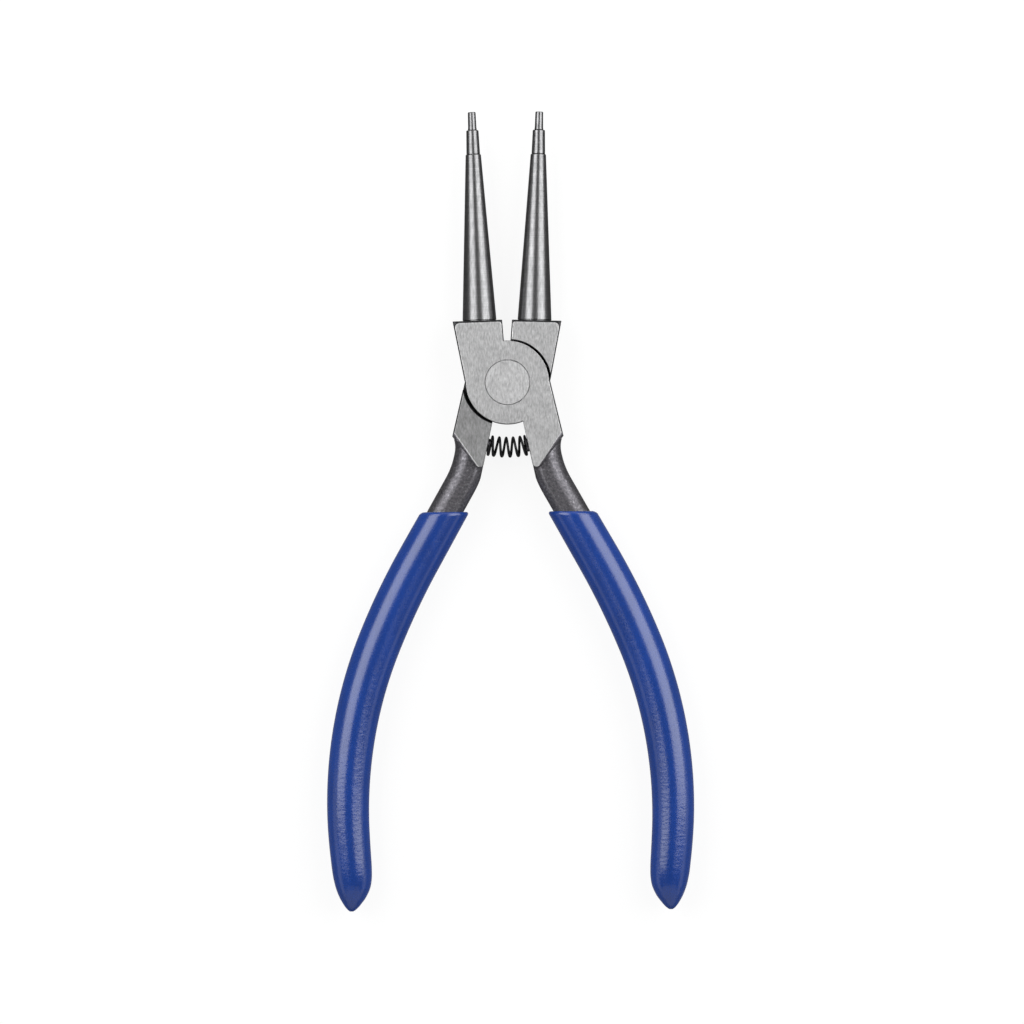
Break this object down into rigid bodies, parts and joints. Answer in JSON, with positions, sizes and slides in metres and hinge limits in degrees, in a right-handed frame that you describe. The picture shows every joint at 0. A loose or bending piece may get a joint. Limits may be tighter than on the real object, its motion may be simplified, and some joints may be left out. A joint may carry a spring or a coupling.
{
  "type": "circlip pliers",
  "caption": "Straight-nosed pliers for internal circlips: stepped round jaws, lap joint with a flush rivet, coil return spring and dipped handle grips, shown open.",
  "frame": {"origin": "on the pivot axis, in the plane of the back face that the tool lies on", "axes": "+Y from the pivot towards the tips, +X to the right seen from the front, +Z out of the front face"},
  "size_m": [0.0828, 0.1802, 0.0097],
  "materials": {
    "forged_steel": "head ground flat and brushed lengthwise, jaws polished, shanks left dark as forged",
    "rivet_steel": "ground flush with the head",
    "spring_wire": "blackened spring wire",
    "dipped_vinyl": "glossy royal blue dip, slightly uneven"
  },
  "bodies": {
    "front": {"front_lever": "forged_steel", "pivot_rivet": "rivet_steel", "right_peg": "rivet_steel", "right_grip": "dipped_vinyl", "return_spring": "spring_wire"},
    "rear": {"rear_lever": "forged_steel", "left_peg": "rivet_steel", "left_grip": "dipped_vinyl"}
  },
  "joints": [
    {"name": "pivot", "type": "hinge", "parent": "front", "child": "rear", "pos_m": [0, 0, 0], "axis": [0, 0, 1], "range_deg": [-5, 8], "stiffness_Nm_per_rad": 2.5, "deforming": ["return_spring"]}
  ]
}
